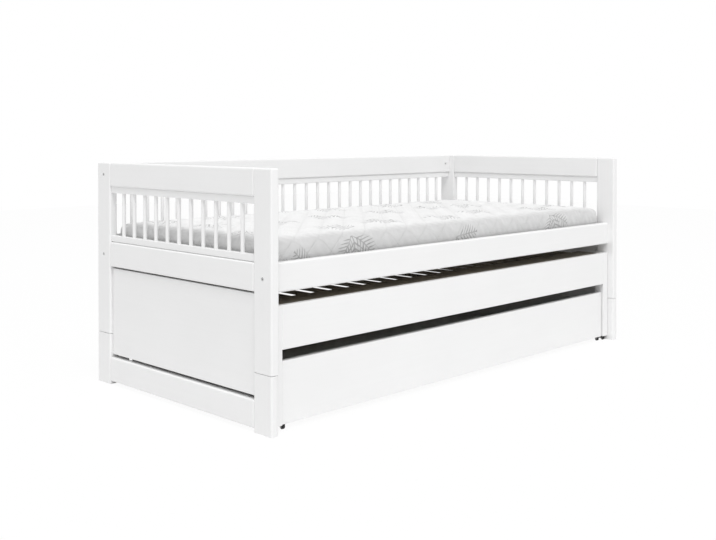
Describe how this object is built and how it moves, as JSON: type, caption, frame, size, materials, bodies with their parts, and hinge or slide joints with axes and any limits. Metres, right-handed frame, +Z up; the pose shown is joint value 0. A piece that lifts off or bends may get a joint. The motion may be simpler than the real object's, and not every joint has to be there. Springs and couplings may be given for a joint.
{
  "type": "cabin bed",
  "caption": "White cabin bed with spindle ends and back, slatted base and mattress, over a pull-out bed on castors that stands astride a castored drawer.",
  "frame": {"origin": "on the floor under the middle of the bed", "axes": "+X along the bed to the right end, -Y towards the open front, +Z up"},
  "size_m": [2.08, 1.029, 0.838],
  "materials": {
    "white_lacquer": "white satin lacquer",
    "slat_wood": "planed pale wood",
    "stained_wood": "brown stained wood",
    "drawer_board": "grey foil on board",
    "steel": "zinc plated",
    "brown_plastic": "moulded brown",
    "black_plastic": "moulded black",
    "black_wheel": "moulded black",
    "mattress_cover": "pale knitted ticking with grey leaf sprays"
  },
  "bodies": {
    "bed_frame": {"left_front_post": "white_lacquer", "left_front_foot": "white_lacquer", "left_rear_post": "white_lacquer", "left_rear_foot": "white_lacquer", "left_top_rail": "white_lacquer", "left_mid_rail": "white_lacquer", "left_bottom_rail": "white_lacquer", "left_end_panel": "white_lacquer", "right_front_post": "white_lacquer", "right_front_foot": "white_lacquer", "right_rear_post": "white_lacquer", "right_rear_foot": "white_lacquer", "right_top_rail": "white_lacquer", "right_mid_rail": "white_lacquer", "right_bottom_rail": "white_lacquer", "right_end_panel": "white_lacquer", "left_upper_strip": "white_lacquer", "left_lower_strip": "white_lacquer", "left_spindles": "white_lacquer", "right_upper_strip": "white_lacquer", "right_lower_strip": "white_lacquer", "right_spindles": "white_lacquer", "back_upper_strip": "white_lacquer", "back_lower_strip": "white_lacquer", "back_spindles": "white_lacquer", "front_rail": "white_lacquer", "back_rail": "white_lacquer", "back_top_rail": "white_lacquer", "frame_bolts": "steel", "cross_nuts": "steel", "foot_pins": "steel", "front_ledger": "slat_wood", "back_ledger": "slat_wood", "base_slats": "slat_wood", "mattress": "mattress_cover"},
    "pullout_bed": {"pullout_left_front_leg": "white_lacquer", "pullout_left_rear_leg": "white_lacquer", "pullout_right_front_leg": "white_lacquer", "pullout_right_rear_leg": "white_lacquer", "pullout_left_side": "white_lacquer", "pullout_right_side": "white_lacquer", "pullout_front": "white_lacquer", "pullout_back": "white_lacquer", "pullout_front_bearer": "stained_wood", "pullout_back_bearer": "stained_wood", "pullout_slats": "stained_wood", "pullout_slat_holders": "brown_plastic", "pullout_castor_housings": "black_plastic", "pullout_axles": "steel"},
    "drawer": {"drawer_front": "white_lacquer", "drawer_floor": "drawer_board", "drawer_left_side": "drawer_board", "drawer_right_side": "drawer_board", "drawer_back": "drawer_board", "drawer_castor_housings": "black_plastic", "drawer_axles": "steel"},
    "pullout_front_wheel_pair": {"pullout_front_wheels": "black_wheel"},
    "pullout_rear_wheel_pair": {"pullout_rear_wheels": "black_wheel"},
    "drawer_front_wheel_pair": {"drawer_front_wheels": "black_wheel"},
    "drawer_rear_wheel_pair": {"drawer_rear_wheels": "black_wheel"}
  },
  "joints": [
    {"name": "pullout_slide", "type": "slide", "parent": "bed_frame", "child": "pullout_bed", "axis": [0, -1, 0], "range_m": [0, 0.9]},
    {"name": "drawer_slide", "type": "slide", "parent": "bed_frame", "child": "drawer", "axis": [0, -1, 0], "range_m": [0, 0.85]},
    {"name": "pullout_front_wheel_roll", "type": "hinge", "parent": "pullout_bed", "child": "pullout_front_wheel_pair", "pos_m": [0, -0.4715, 0.008], "axis": [1, 0, 0], "continuous": true},
    {"name": "pullout_rear_wheel_roll", "type": "hinge", "parent": "pullout_bed", "child": "pullout_rear_wheel_pair", "pos_m": [0, 0.4365, 0.008], "axis": [1, 0, 0], "continuous": true},
    {"name": "drawer_front_wheel_roll", "type": "hinge", "parent": "drawer", "child": "drawer_front_wheel_pair", "pos_m": [0, -0.4635, 0.008], "axis": [1, 0, 0], "continuous": true},
    {"name": "drawer_rear_wheel_roll", "type": "hinge", "parent": "drawer", "child": "drawer_rear_wheel_pair", "pos_m": [0, 0.3905, 0.008], "axis": [1, 0, 0], "continuous": true}
  ],
  "couplings": [
    {"joint": "pullout_front_wheel_roll", "follows": "pullout_slide", "rad_per_m": 125},
    {"joint": "pullout_rear_wheel_roll", "follows": "pullout_slide", "rad_per_m": 125},
    {"joint": "drawer_front_wheel_roll", "follows": "drawer_slide", "rad_per_m": 125},
    {"joint": "drawer_rear_wheel_roll", "follows": "drawer_slide", "rad_per_m": 125}
  ]
}
